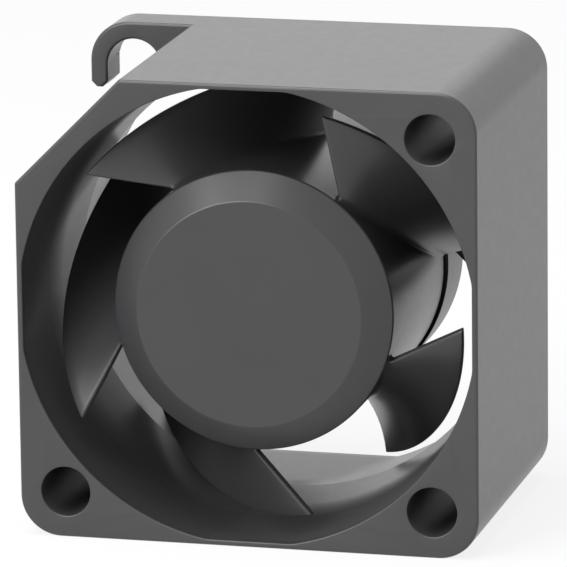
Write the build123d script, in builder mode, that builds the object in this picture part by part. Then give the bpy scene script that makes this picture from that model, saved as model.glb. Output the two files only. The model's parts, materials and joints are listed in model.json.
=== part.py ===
from build123d import *
import os
from dataclasses import dataclass
from math import atan2, cos, hypot, radians, sin, tan

# Square axial cooling fan with a hub motor on two small ball bearings.
# X runs to the right as seen from the inlet, Y runs along the rotor axis from the
# inlet face to the outlet face, and Z is up. The origin is the middle of the housing,
# on the rotor axis. Depths are counted from the inlet face. Sizes are in millimetres,
# and angles in degrees, counter-clockwise from +X as seen from the inlet.

# Housing
frame_size = 40.0
frame_depth = 28.0
corner_radius = 3.5
cut_corner_leg = 9.3
face_edge_rounding = 0.25
hole_inset = 4.0
hole_diameter = 4.3

# Air passage: the wall left beside it at the mouth, the bend, the throat and the outlet
mouth_wall = 0.5
mouth_rim = 0.15
bend_wall = 0.43
bend_depth = 9.1
throat_wall = 0.91
throat_depth = 17.2
outlet_wall = 0.95
outlet_overrun = 0.1

# Wire hook behind the cut corner
hook_depth = 4.2
hook_arm = 1.5
hook_inner_radius = 2.4
hook_reach = 5.9
hook_tip_bevel = 0.5

# Slots that let the lead wires out of the motor base and the cut corner
lead_slot_width = 3.0
lead_slot_height = 1.4
base_slot_angle = 152.0
base_slot_length = 4.4
corner_slot_angle = 135.0
corner_slot_length = 9.3

# Impeller
hub_radius = 12.15
hub_front = 1.2
hub_flat_radius = 9.75
hub_bevel_depth = 1.6
cup_wall = 1.1
cup_front_wall = 1.3
blade_count = 5
blade_thickness = 0.7
blade_root_sink = 0.6
tip_gap = 0.89

# Blade shape, at the hub and at the tip: the angle of the leading edge, the clockwise
# turn from it to the trailing edge, its depth, the depth from edge to edge, and the
# slope at the leading edge from the plane of rotation
blade_lead_angles = (51.8, 69.8)
blade_wraps = (46.6, 65.3)
blade_lead_depths = (3.5, 2.2)
blade_lengths = (17.2, 18.7)
blade_entry_slopes = (29.5, 21.0)

# How far the untrimmed blades and vanes run, as parts of the way from root to tip
blade_run = (-0.15, 1.1)
vane_run = (-0.2, 1.25)

# Points that a blade surface is fitted through, and how closely
across_point_count = 5
along_point_count = 7
surface_fit = 0.005

# Motor base and the vanes that carry it
running_gap = 0.6
base_height = 5.9
base_overhang = 0.25
base_wall = 1.1
base_floor = 1.2
base_boss_height = 2.5
recess_depth = 0.3
recess_margin = 1.2
board_ledge = 1.0
vane_count = 3
vane_first_angle = 8.0
vane_thickness = 0.9
vane_base_sink = 0.6
vane_wall_sink = 0.2

# Vane shape, at the motor base and at the housing's wall, told as for the blades
vane_lead_angles = (0.0, -20.0)
vane_wraps = (-13.0, -9.0)
vane_front_margin = 0.3
vane_length = 6.0
vane_entry_slopes = (42.0, 46.0)

# Shaft and ball bearings
shaft_diameter = 3.0
bearing_diameter = 7.0
bearing_width = 3.0
rear_bearing_inset = 1.4
ball_diameter = 1.0
ball_count = 7
ring_shoulder = 0.7
race_gap = 0.02
shield_thickness = 0.15
shield_inset = 0.1
shield_seat = 0.25
shield_gap = 0.12
cage_thickness = 0.44
cage_back = 0.8
cage_front = 0.3
pocket_gap = 0.03

# Bearing tube, shaft bush, spring and retaining ring
tube_wall = 0.8
tube_shoulder = 0.4
tube_front_lip = 0.3
tube_rear_lip = 0.5
base_boss_wall = 1.3
bush_radius = 2.6
bush_length = 4.6
bush_cover = 1.1
rotor_boss_wall = 0.8
spring_wire = 0.24
spring_turns = 3
spring_radius = 1.85
spring_space = 1.1
washer_thickness = 0.2
retainer_thickness = 0.4
retainer_radius = 2.7
retainer_mouth = 2.4
groove_depth = 0.35
shaft_end = 0.5
shaft_chamfer = 0.17

# Yoke and magnet
yoke_wall = 0.7
yoke_inset = 0.6
magnet_thickness = 1.3
magnet_length = 10.5
magnet_inset = 0.5

# Stator
air_gap = 0.4
core_length = 6.0
tooth_count = 4
tooth_width = 2.0
core_ring_wall = 1.1
shoe_thickness = 0.8
slot_opening = 1.6
insulator_end = 0.6
insulator_skirt = 0.3
skirt_length = 2.4
collar_wall = 1.3
flange_thickness = 0.5
flange_overhang = 1.4
coil_thickness = 1.4
coil_gap = 0.05
coil_corner = 0.8
pin_width = 0.5
pin_sink = 1.0
pin_stand_out = 0.5

# Circuit board and the parts on it: radial, round-going and standing size of each, and
# the angles they stand at
board_thickness = 1.0
board_gap = 0.15
board_front_margin = 0.5
chip_margin = 1.26
chip_width = 4.6
chip_height = 1.4
chip_angle = 200.0
chip_leads = 4
chip_lead_pitch = 1.1
chip_lead_size = (0.4, 0.4, 0.25)
hall_size = (1.6, 2.4, 1.2)
hall_angle = 20.0
capacitor_size = (1.6, 3.0, 1.3)
capacitor_angles = [100.0, 135.0]
diode_size = (1.5, 2.4, 1.1)
diode_angle = 62.0
resistor_size = (0.8, 1.6, 0.45)
resistor_angles = [250.0, 272.0, 294.0]

# Gap at a pressed or glued seat between two round faces
seat_gap = 0.02

# Sizes that follow from the ones above
half_size = frame_size / 2
half_depth = frame_depth / 2
hole_offset = half_size - hole_inset
hole_places = [(hole_offset, hole_offset), (hole_offset, -hole_offset),
               (-hole_offset, -hole_offset)]
throat_radius = half_size - throat_wall
tip_radius = throat_radius - tip_gap
base_front = frame_depth - base_height
hub_rear = base_front - running_gap
base_radius = hub_radius + base_overhang
base_inner_radius = base_radius - base_wall
floor_front = frame_depth - base_floor
shaft_radius = shaft_diameter / 2
bearing_radius = bearing_diameter / 2
tube_inner_radius = bearing_radius + seat_gap
tube_radius = tube_inner_radius + tube_wall
tube_rear = frame_depth - recess_depth - tube_rear_lip
base_boss_radius = tube_radius + base_boss_wall
base_boss_front = floor_front - base_boss_height
ball_radius = ball_diameter / 2
ball_pitch_radius = (shaft_radius + bearing_radius) / 2
inner_shoulder_radius = shaft_radius + ring_shoulder
outer_shoulder_radius = bearing_radius - ring_shoulder
rear_bearing_end = tube_rear - rear_bearing_inset
rear_bearing_depth = rear_bearing_end - bearing_width
retainer_front = rear_bearing_end + washer_thickness
retainer_rear = retainer_front + retainer_thickness
bush_front = hub_front + bush_cover
bush_rear = bush_front + bush_length
front_bearing_depth = bush_rear + spring_space
tube_front = front_bearing_depth - tube_front_lip
rotor_boss_radius = bush_radius + seat_gap + rotor_boss_wall
cup_inner_radius = hub_radius - cup_wall
yoke_radius = cup_inner_radius - seat_gap
yoke_front = hub_front + cup_front_wall
yoke_rear = hub_rear - yoke_inset
magnet_radius = yoke_radius - yoke_wall - seat_gap
magnet_inner_radius = magnet_radius - magnet_thickness
magnet_rear = yoke_rear - magnet_inset
magnet_front = magnet_rear - magnet_length
core_radius = magnet_inner_radius - air_gap
core_inner_radius = tube_radius + seat_gap
core_middle = (magnet_front + magnet_rear) / 2
core_front = core_middle - core_length / 2
core_rear = core_middle + core_length / 2
shoe_inner_radius = core_radius - shoe_thickness
core_ring_radius = core_inner_radius + core_ring_wall
coil_inner_width = tooth_width + 2 * (insulator_skirt + coil_gap)
coil_inner_height = core_length + 2 * (insulator_end + coil_gap)
coil_start = core_ring_radius + insulator_skirt + coil_gap
coil_end = shoe_inner_radius - flange_thickness - coil_gap
pin_radius = core_inner_radius + collar_wall / 2
board_front = base_front + board_front_margin
board_rear = board_front + board_thickness
board_radius = base_inner_radius - board_gap
board_inner_radius = tube_radius + board_gap
board_ledge_radius = base_inner_radius - board_ledge
board_middle_radius = (base_boss_radius + board_ledge_radius) / 2
chip_size = (board_ledge_radius - base_boss_radius - chip_margin, chip_width, chip_height)
hall_radius = (magnet_inner_radius + magnet_radius) / 2


@dataclass
class BladeLine:
    """One line of a blade at a fixed radius, from its leading to its trailing edge."""
    radius: float
    lead_angle: float    # where the leading edge is
    wrap: float          # turn from the leading to the trailing edge, clockwise
    lead_depth: float    # depth of the leading edge
    length: float        # depth from the leading to the trailing edge
    entry_angle: float   # slope at the leading edge, from the plane of rotation


blade_root, blade_tip = map(BladeLine, (hub_radius, tip_radius), blade_lead_angles,
                            blade_wraps, blade_lead_depths, blade_lengths,
                            blade_entry_slopes)
vane_front = base_front + vane_front_margin
vane_root, vane_tip = map(BladeLine, (base_radius, throat_radius), vane_lead_angles,
                          vane_wraps, (vane_front, vane_front), (vane_length, vane_length),
                          vane_entry_slopes)


def across(depth):
    """Plane across the axis at a depth, facing the inlet: its x is X and its y is Z."""
    return Plane((0, depth - half_depth, 0), x_dir=(1, 0, 0), z_dir=(0, -1, 0))


def about_axis(angle):
    """Turn about the rotor axis by an angle."""
    return Location((0, 0, 0), (0, -angle, 0))


def facing_out(angle, radius, depth):
    """Plane that faces away from the axis: its y runs along the depth."""
    outwards = Vector(cos(radians(angle)), 0, sin(radians(angle)))
    origin = outwards * radius + Vector(0, depth - half_depth, 0)
    return Plane(origin, x_dir=Vector(0, -1, 0).cross(outwards) * -1, z_dir=outwards)


# Plane through the axis for turned profiles: its x is the radius and its y the depth
turning = Plane((0, -half_depth, 0), x_dir=(1, 0, 0), z_dir=(0, 0, 1))


def turned(points):
    """Solid turned about the rotor axis from a closed outline of (radius, depth)."""
    with BuildPart() as body:
        with BuildSketch(turning):
            with BuildLine():
                Polyline(*points, close=True)
            make_face()
        revolve(axis=Axis.Y)
    return body.part


def ring(inner, outer, front, rear):
    """Plain ring between two radii and two depths."""
    return turned([(inner, front), (outer, front), (outer, rear), (inner, rear)])


def blade_point(root, tip, outwards, along):
    """Point on a blade, whose leading edge is straight as seen from the inlet."""
    def blend(first, second):
        return first + (second - first) * outwards

    edge_x = blend(*[line.radius * cos(radians(line.lead_angle)) for line in (root, tip)])
    edge_z = blend(*[line.radius * sin(radians(line.lead_angle)) for line in (root, tip)])
    radius = hypot(edge_x, edge_z)
    wrap = radians(blend(root.wrap, tip.wrap))
    length = blend(root.length, tip.length)
    entry = tan(radians(blend(root.entry_angle, tip.entry_angle))) * radius * abs(wrap)
    angle = atan2(edge_z, edge_x) - wrap * along
    depth = blend(root.lead_depth, tip.lead_depth) + entry * along + (length - entry) * along ** 2
    return Vector(radius * cos(angle), depth - half_depth, radius * sin(angle))


def steps(start, end, count):
    """Evenly spaced values from start to end."""
    return [start + (end - start) * index / (count - 1) for index in range(count)]


def curved_blade(root, tip, thickness, run):
    """Curved plate between two blade lines, run on past both."""
    rows = [[blade_point(root, tip, outwards, along) for along in steps(0, 1, along_point_count)]
            for outwards in steps(*run, across_point_count)]
    face = Face.make_surface_from_array_of_points(rows, tol=surface_fit)
    with BuildPart() as plate:
        thicken(face, amount=thickness)
    return plate.part


def board_part(size, radius, angles, depth, rearwards):
    """Small blocks standing on one side of the circuit board."""
    standing = Align.MAX if rearwards else Align.MIN
    with BuildPart() as blocks:
        with Locations(across(depth)):
            for angle in angles:
                with PolarLocations(radius, 1, start_angle=angle):
                    Box(*size, align=(Align.CENTER, Align.CENTER, standing))
    return blocks.part


os.makedirs("parts", exist_ok=True)

# Housing outline: three round corners and one cut corner, seen from the inlet
upper_left = Axis((0, 0, 0), (-1, 1, 0))
with BuildSketch(across(frame_depth)) as frame_outline:
    Rectangle(frame_size, frame_size)
    fillet(frame_outline.vertices().sort_by(upper_left)[:3], radius=corner_radius)
    chamfer(frame_outline.vertices().sort_by(upper_left)[-1], length=cut_corner_leg)

# Air passage: a round funnel to the throat and a flare behind it, cut off by flat
# sides where the housing's wall would get too thin
with BuildPart() as passage:
    with BuildSketch(across(throat_depth)):
        Rectangle(frame_size - 2 * mouth_wall, frame_size - 2 * mouth_wall)
    extrude(amount=throat_depth)
    with BuildSketch(across(frame_depth)):
        Rectangle(frame_size - 2 * outlet_wall, frame_size - 2 * outlet_wall)
    extrude(amount=frame_depth - throat_depth)
    add(turned([(0, 0), (half_size - mouth_rim, 0), (half_size - bend_wall, bend_depth),
                (throat_radius, throat_depth), (half_size + outlet_overrun, frame_depth),
                (0, frame_depth)]), mode=Mode.INTERSECT)

# Wire hook: the corner that the cut takes off, hollowed by an arc and open below
with BuildSketch(across(frame_depth)) as hook_outline:
    with BuildLine():
        Polyline((-half_size, half_size), (-half_size, half_size - cut_corner_leg),
                 (cut_corner_leg - half_size, half_size), close=True)
    make_face()
    fillet(hook_outline.vertices().sort_by(upper_left)[-1], radius=corner_radius)
    with Locations((hook_arm + hook_inner_radius - half_size,
                    half_size - hook_arm - hook_inner_radius)):
        Circle(hook_inner_radius, mode=Mode.SUBTRACT)
    with Locations((hook_arm - half_size, half_size - hook_arm - hook_inner_radius)):
        Rectangle(cut_corner_leg, cut_corner_leg, align=(Align.MIN, Align.MAX),
                  mode=Mode.SUBTRACT)
    with Locations((-half_size, half_size - hook_reach)):
        Rectangle(cut_corner_leg, cut_corner_leg, align=(Align.MIN, Align.MAX),
                  mode=Mode.SUBTRACT)
    chamfer(hook_outline.vertices().group_by(Axis.Y)[0], length=hook_tip_bevel)

# Motor base: a shallow cup with a seat for the circuit board, a boss for the bearing
# tube and a recess in its rear face
lip_radius = tube_inner_radius - tube_shoulder
recess_radius = base_radius - recess_margin
with BuildPart() as motor_base:
    add(turned([(tube_radius + seat_gap, base_boss_front), (tube_radius + seat_gap, tube_rear),
                (lip_radius, tube_rear), (lip_radius, frame_depth - recess_depth),
                (recess_radius, frame_depth - recess_depth), (recess_radius, frame_depth),
                (base_radius, frame_depth), (base_radius, base_front),
                (base_inner_radius, base_front), (base_inner_radius, board_rear),
                (board_ledge_radius, board_rear), (board_ledge_radius, floor_front),
                (base_boss_radius, floor_front), (base_boss_radius, base_boss_front)]))
    with Locations(facing_out(base_slot_angle, base_radius, floor_front)):
        Box(lead_slot_width, lead_slot_height, base_slot_length,
            align=(Align.CENTER, Align.MAX, Align.CENTER), mode=Mode.SUBTRACT)

# One stator vane, trimmed to reach from the motor base's wall into the housing's wall
with BuildPart() as vane:
    add(curved_blade(vane_root, vane_tip, vane_thickness, vane_run))
    with BuildSketch(across(frame_depth)):
        Circle(half_size + vane_wall_sink)
        Circle(base_radius - vane_base_sink, mode=Mode.SUBTRACT)
    extrude(amount=frame_depth - base_front, mode=Mode.INTERSECT)
vane_angles = [vane_first_angle + 360 / vane_count * index for index in range(vane_count)]

# The three vanes, kept inside the housing's flat sides
with BuildPart() as vanes:
    with Locations([about_axis(angle) for angle in vane_angles]):
        add(vane.part)
    with BuildSketch(across(frame_depth)):
        Rectangle(frame_size - outlet_wall, frame_size - outlet_wall)
    extrude(amount=frame_depth, mode=Mode.INTERSECT)

# The housing, its hook, the motor base and the vanes are one moulding
with BuildPart() as frame:
    extrude(frame_outline.sketch, amount=frame_depth)
    fillet(frame.faces().sort_by(Axis.Y)[0].edges(), radius=face_edge_rounding)
    fillet(frame.faces().sort_by(Axis.Y)[-1].edges(), radius=face_edge_rounding)
    add(passage.part, mode=Mode.SUBTRACT)
    with BuildSketch(across(frame_depth)):
        with Locations(hole_places):
            Circle(hole_diameter / 2)
    extrude(amount=frame_depth, mode=Mode.SUBTRACT)
    with Locations(facing_out(corner_slot_angle, half_size + outlet_overrun, frame_depth)):
        Box(lead_slot_width, lead_slot_height, corner_slot_length,
            align=(Align.CENTER, Align.MAX, Align.CENTER), mode=Mode.SUBTRACT)
    extrude(hook_outline.sketch, amount=hook_depth)
    add(motor_base.part)
    add(vanes.part)
frame.part.label = "frame"
export_step(frame.part, "parts/frame.step")

# One impeller blade, trimmed to the space between the hub's wall and the air passage
with BuildPart() as blade:
    add(curved_blade(blade_root, blade_tip, blade_thickness, blade_run))
    add(ring(hub_radius - blade_root_sink, tip_radius, 0, hub_rear), mode=Mode.INTERSECT)

# The impeller: a hub cup with a boss for the shaft bush, and its blades
with BuildPart() as impeller:
    add(turned([(0, hub_front), (hub_flat_radius, hub_front),
                (hub_radius, hub_front + hub_bevel_depth), (hub_radius, hub_rear),
                (cup_inner_radius, hub_rear), (cup_inner_radius, yoke_front),
                (rotor_boss_radius, yoke_front), (rotor_boss_radius, bush_rear),
                (bush_radius + seat_gap, bush_rear), (bush_radius + seat_gap, bush_front),
                (0, bush_front)]))
    with Locations([about_axis(360 / blade_count * index) for index in range(blade_count)]):
        add(blade.part)
impeller.part.label = "impeller"
export_step(impeller.part, "parts/impeller.step")

# Steel yoke pressed into the hub cup, which closes the magnet's field
with BuildPart() as rotor_yoke:
    add(turned([(rotor_boss_radius + seat_gap, yoke_front), (yoke_radius, yoke_front),
                (yoke_radius, yoke_rear), (yoke_radius - yoke_wall, yoke_rear),
                (yoke_radius - yoke_wall, yoke_front + yoke_wall),
                (rotor_boss_radius + seat_gap, yoke_front + yoke_wall)]))
rotor_yoke.part.label = "rotor_yoke"
export_step(rotor_yoke.part, "parts/rotor_yoke.step")

with BuildPart() as rotor_magnet:
    add(ring(magnet_inner_radius, magnet_radius, magnet_front, magnet_rear))
rotor_magnet.part.label = "rotor_magnet"
export_step(rotor_magnet.part, "parts/rotor_magnet.step")

# Brass bush moulded into the impeller's boss
with BuildPart() as shaft_bush:
    add(ring(shaft_radius + seat_gap, bush_radius, bush_front, bush_rear))
shaft_bush.part.label = "shaft_bush"
export_step(shaft_bush.part, "parts/shaft_bush.step")

# Shaft with the groove for its retaining ring
shaft_rear = retainer_rear + shaft_end
groove_radius = shaft_radius - groove_depth
with BuildPart() as shaft:
    add(turned([(0, bush_front), (shaft_radius, bush_front), (shaft_radius, retainer_front),
                (groove_radius, retainer_front), (groove_radius, retainer_rear),
                (shaft_radius, retainer_rear), (shaft_radius, shaft_rear), (0, shaft_rear)]))
    chamfer(shaft.edges().sort_by(Axis.Y)[-1], length=shaft_chamfer)
shaft.part.label = "shaft"
export_step(shaft.part, "parts/shaft.step")

with BuildPart() as thrust_washer:
    add(ring(shaft_radius + seat_gap, inner_shoulder_radius, rear_bearing_end, retainer_front))
thrust_washer.part.label = "thrust_washer"
export_step(thrust_washer.part, "parts/thrust_washer.step")

# Retaining ring: a washer with a mouth, pushed into the shaft's groove from the side
with BuildPart() as retaining_ring:
    with BuildSketch(across(retainer_rear)):
        Circle(retainer_radius)
        Circle(groove_radius + seat_gap, mode=Mode.SUBTRACT)
        Rectangle(retainer_radius, retainer_mouth, align=(Align.MIN, Align.CENTER),
                  mode=Mode.SUBTRACT)
    extrude(amount=retainer_thickness)
retaining_ring.part.label = "retaining_ring"
export_step(retaining_ring.part, "parts/retaining_ring.step")

# Coil spring that preloads the bearings, between the bush and the front inner ring
spring_length = front_bearing_depth - bush_rear - spring_wire
with BuildPart() as preload_spring:
    with BuildLine():
        coil_line = Helix(spring_length / spring_turns, spring_length, spring_radius,
                          center=(0, bush_rear + spring_wire / 2 - half_depth, 0),
                          direction=(0, 1, 0))
    with BuildSketch(Plane(coil_line @ 0, z_dir=coil_line % 0)):
        Circle(spring_wire / 2)
    sweep(path=coil_line, is_frenet=True)
preload_spring.part.label = "preload_spring"
export_step(preload_spring.part, "parts/preload_spring.step")

# Bearing tube, with an inner shoulder that keeps the two bearings apart
with BuildPart() as bearing_tube:
    add(turned([(tube_inner_radius, tube_front), (tube_radius, tube_front),
                (tube_radius, tube_rear), (tube_inner_radius, tube_rear),
                (tube_inner_radius, rear_bearing_depth),
                (tube_inner_radius - tube_shoulder, rear_bearing_depth),
                (tube_inner_radius - tube_shoulder, front_bearing_depth + bearing_width),
                (tube_inner_radius, front_bearing_depth + bearing_width)]))
bearing_tube.part.label = "bearing_tube"
export_step(bearing_tube.part, "parts/bearing_tube.step")

# The two shielded ball bearings
seat_radius = outer_shoulder_radius + shield_seat
for place, bearing_front in (("front", front_bearing_depth), ("rear", rear_bearing_depth)):
    bearing_rear = bearing_front + bearing_width
    bearing_middle = bearing_front + bearing_width / 2
    seat_depth = shield_inset + shield_thickness

    with BuildPart() as race:
        with BuildSketch(turning):
            with Locations((ball_pitch_radius, bearing_middle)):
                Circle(ball_radius + race_gap)
        revolve(axis=Axis.Y)

    with BuildPart() as inner_ring:
        add(ring(shaft_radius + seat_gap, inner_shoulder_radius, bearing_front, bearing_rear))
        add(race.part, mode=Mode.SUBTRACT)
    inner_ring.part.label = f"{place}_bearing_inner_ring"
    export_step(inner_ring.part, f"parts/{place}_bearing_inner_ring.step")

    with BuildPart() as outer_ring:
        add(turned([(seat_radius, bearing_front), (bearing_radius, bearing_front),
                    (bearing_radius, bearing_rear), (seat_radius, bearing_rear),
                    (seat_radius, bearing_rear - seat_depth),
                    (outer_shoulder_radius, bearing_rear - seat_depth),
                    (outer_shoulder_radius, bearing_front + seat_depth),
                    (seat_radius, bearing_front + seat_depth)]))
        add(race.part, mode=Mode.SUBTRACT)
    outer_ring.part.label = f"{place}_bearing_outer_ring"
    export_step(outer_ring.part, f"parts/{place}_bearing_outer_ring.step")

    with BuildPart() as shields:
        for shield_front in (bearing_front + shield_inset, bearing_rear - seat_depth):
            add(ring(inner_shoulder_radius + shield_gap, seat_radius - seat_gap, shield_front,
                     shield_front + shield_thickness))
    shields.part.label = f"{place}_bearing_shields"
    export_step(shields.part, f"parts/{place}_bearing_shields.step")

    with BuildPart() as balls:
        with Locations(across(bearing_middle)):
            with PolarLocations(ball_pitch_radius, ball_count):
                Sphere(ball_radius)
    balls.part.label = f"{place}_bearing_balls"
    export_step(balls.part, f"parts/{place}_bearing_balls.step")

    with BuildPart() as cage:
        add(ring(ball_pitch_radius - cage_thickness / 2, ball_pitch_radius + cage_thickness / 2,
                 bearing_middle - cage_back, bearing_middle + cage_front))
        with Locations(across(bearing_middle)):
            with PolarLocations(ball_pitch_radius, ball_count):
                Sphere(ball_radius + pocket_gap, mode=Mode.SUBTRACT)
    cage.part.label = f"{place}_bearing_cage"
    export_step(cage.part, f"parts/{place}_bearing_cage.step")

# Laminated stator core: a ring, its teeth, and the pole shoes at their ends
tooth_reach = (core_ring_radius + shoe_inner_radius) / 2
with BuildSketch(across(core_rear)) as core_outline:
    Circle(core_radius)
    Circle(shoe_inner_radius, mode=Mode.SUBTRACT)
    with PolarLocations(core_radius, tooth_count, start_angle=180 / tooth_count):
        Rectangle(4 * shoe_thickness, slot_opening, mode=Mode.SUBTRACT)
    with PolarLocations(tooth_reach, tooth_count):
        Rectangle(shoe_inner_radius - core_ring_radius + shoe_thickness, tooth_width)
    Circle(core_ring_radius)
    Circle(core_inner_radius, mode=Mode.SUBTRACT)
with BuildPart() as stator_core:
    extrude(core_outline.sketch, amount=core_length)
stator_core.part.label = "stator_core"
export_step(stator_core.part, "parts/stator_core.step")

# Insulators: a spider over each end of the core, with skirts beside the teeth, a collar
# about the tube and flanges that hold the coils
with BuildPart() as front_insulator:
    with BuildSketch(across(core_front + skirt_length)):
        Circle(core_ring_radius + insulator_skirt)
        with PolarLocations(tooth_reach, tooth_count):
            Rectangle(shoe_inner_radius - core_ring_radius, tooth_width + 2 * insulator_skirt)
        Circle(shoe_inner_radius - seat_gap, mode=Mode.INTERSECT)
        Circle(core_inner_radius, mode=Mode.SUBTRACT)
    extrude(amount=skirt_length + insulator_end)
    with BuildSketch(across(core_front - insulator_end)):
        Circle(core_inner_radius + collar_wall)
        Circle(core_inner_radius, mode=Mode.SUBTRACT)
    extrude(amount=coil_thickness)
    with BuildSketch(across(core_front)):
        with PolarLocations(shoe_inner_radius, tooth_count):
            Rectangle(2 * flange_thickness, tooth_width + 2 * flange_overhang)
        Circle(shoe_inner_radius - seat_gap, mode=Mode.INTERSECT)
        Circle(shoe_inner_radius - flange_thickness, mode=Mode.SUBTRACT)
    extrude(amount=insulator_end + coil_thickness)
    extrude(core_outline.sketch, amount=core_length, mode=Mode.SUBTRACT)
front_insulator.part.label = "front_insulator"
export_step(front_insulator.part, "parts/front_insulator.step")

pin_front = core_rear + insulator_end + coil_thickness - pin_sink
pin_rear = board_rear + pin_stand_out
with BuildPart() as pin_holes:
    with BuildSketch(across(pin_rear)):
        with PolarLocations(pin_radius, tooth_count, start_angle=180 / tooth_count):
            Rectangle(pin_width + 2 * seat_gap, pin_width + 2 * seat_gap)
    extrude(amount=pin_rear - pin_front)

with BuildPart() as rear_insulator:
    mirror(front_insulator.part, about=across(core_middle))
    add(pin_holes.part, mode=Mode.SUBTRACT)
rear_insulator.part.label = "rear_insulator"
export_step(rear_insulator.part, "parts/rear_insulator.step")

# One coil on each tooth
for number in range(tooth_count):
    with BuildPart() as coil:
        with BuildSketch(facing_out(360 / tooth_count * number, coil_start, core_middle)):
            RectangleRounded(coil_inner_width + 2 * coil_thickness,
                             coil_inner_height + 2 * coil_thickness, coil_corner)
            Rectangle(coil_inner_width, coil_inner_height, mode=Mode.SUBTRACT)
        extrude(amount=coil_end - coil_start)
    coil.part.label = f"stator_coil_{number + 1}"
    export_step(coil.part, f"parts/stator_coil_{number + 1}.step")

# Pins that carry the coil ends from the rear insulator through the circuit board
with BuildPart() as terminal_pins:
    with BuildSketch(across(pin_rear)):
        with PolarLocations(pin_radius, tooth_count, start_angle=180 / tooth_count):
            Rectangle(pin_width, pin_width)
    extrude(amount=pin_rear - pin_front)
terminal_pins.part.label = "terminal_pins"
export_step(terminal_pins.part, "parts/terminal_pins.step")

with BuildPart() as circuit_board:
    add(ring(board_inner_radius, board_radius, board_front, board_rear))
    add(pin_holes.part, mode=Mode.SUBTRACT)
circuit_board.part.label = "circuit_board"
export_step(circuit_board.part, "parts/circuit_board.step")

# Driver chip, with its leads down to the board
with BuildPart() as driver_chip:
    add(board_part(chip_size, board_middle_radius, [chip_angle], board_rear, True))
    with Locations(across(board_rear)):
        with PolarLocations(board_middle_radius, 1, start_angle=chip_angle):
            with GridLocations(chip_size[0] + chip_lead_size[0], chip_lead_pitch, 2, chip_leads):
                Box(*chip_lead_size, align=(Align.CENTER, Align.CENTER, Align.MAX))
driver_chip.part.label = "driver_chip"
export_step(driver_chip.part, "parts/driver_chip.step")

with BuildPart() as hall_sensor:
    add(board_part(hall_size, hall_radius, [hall_angle], board_front, False))
hall_sensor.part.label = "hall_sensor"
export_step(hall_sensor.part, "parts/hall_sensor.step")

with BuildPart() as capacitors:
    add(board_part(capacitor_size, board_middle_radius, capacitor_angles, board_rear, True))
capacitors.part.label = "capacitors"
export_step(capacitors.part, "parts/capacitors.step")

with BuildPart() as reverse_diode:
    add(board_part(diode_size, board_middle_radius, [diode_angle], board_rear, True))
reverse_diode.part.label = "reverse_diode"
export_step(reverse_diode.part, "parts/reverse_diode.step")

with BuildPart() as resistors:
    add(board_part(resistor_size, board_middle_radius, resistor_angles, board_rear, True))
resistors.part.label = "resistors"
export_step(resistors.part, "parts/resistors.step")
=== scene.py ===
import json
from math import acos, atan2, cos, degrees, pi, radians, sin, sqrt, tan

import bmesh
import bpy
from mathutils import Matrix, Vector


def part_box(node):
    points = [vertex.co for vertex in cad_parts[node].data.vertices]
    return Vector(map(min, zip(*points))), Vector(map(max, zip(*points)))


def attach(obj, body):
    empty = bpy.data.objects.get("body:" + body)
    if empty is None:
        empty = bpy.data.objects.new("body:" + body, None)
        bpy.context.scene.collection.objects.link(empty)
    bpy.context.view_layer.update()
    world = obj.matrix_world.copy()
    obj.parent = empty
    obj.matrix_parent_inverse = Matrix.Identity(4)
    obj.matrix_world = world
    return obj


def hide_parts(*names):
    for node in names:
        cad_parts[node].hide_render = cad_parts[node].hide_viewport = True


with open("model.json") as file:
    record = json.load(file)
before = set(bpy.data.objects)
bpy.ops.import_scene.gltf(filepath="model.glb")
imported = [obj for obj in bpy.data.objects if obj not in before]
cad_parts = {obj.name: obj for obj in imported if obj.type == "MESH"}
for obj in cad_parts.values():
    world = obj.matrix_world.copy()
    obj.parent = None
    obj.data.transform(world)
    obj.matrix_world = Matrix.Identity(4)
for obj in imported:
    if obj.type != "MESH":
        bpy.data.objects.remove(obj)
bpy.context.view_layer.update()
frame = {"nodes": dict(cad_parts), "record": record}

# Lengths in this script are in millimetres, angles in degrees and turns in radians, both
# counter-clockwise from +X as seen from the inlet. A point is (x, depth, z), with its depth
# counted from the inlet face. Meshes are written in metres.
MM = 0.001
low_corner, high_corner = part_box("frame")
HALF_SIZE = high_corner.x / MM
DEPTH = (high_corner.y - low_corner.y) / MM

# Camera: its place, its turn from a straight look along +Y as an axis that is as long as
# the turn in radians, its lens, and the nearest and furthest that it sees
CAMERA_PLACE = (136.52, -526.66, 131.86)
CAMERA_TURN = (0.23856, 0.25146, 0.01842)
LENS = 413.47
SENSOR = 36.0
NEAREST_SEEN = 10.0
FURTHEST_SEEN = 10000.0

# Housing: outline, holes and hook
CORNER_RADIUS = 3.5
CORNER_STEPS = 14
CUT_CORNER_LEG = 9.3
CUT_EDGE_RADIUS = 0.3
FACE_EDGE = 0.25
FACE_EDGE_STEPS = 5
HOLE_OFFSET = 16.0
HOLE_RADIUS = 2.15
HOLE_EDGE = 0.12
HOLE_STEPS = 96
HOLES = [(HOLE_OFFSET, HOLE_OFFSET), (HOLE_OFFSET, -HOLE_OFFSET), (-HOLE_OFFSET, -HOLE_OFFSET)]
HOOK_DEPTH = 4.2
HOOK_ARM = 1.5
HOOK_RADIUS = 2.4
HOOK_REACH = 5.9
HOOK_TIP_BEVEL = 0.5
HOOK_OVERLAP = 0.6
HOOK_STEPS = 24

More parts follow.
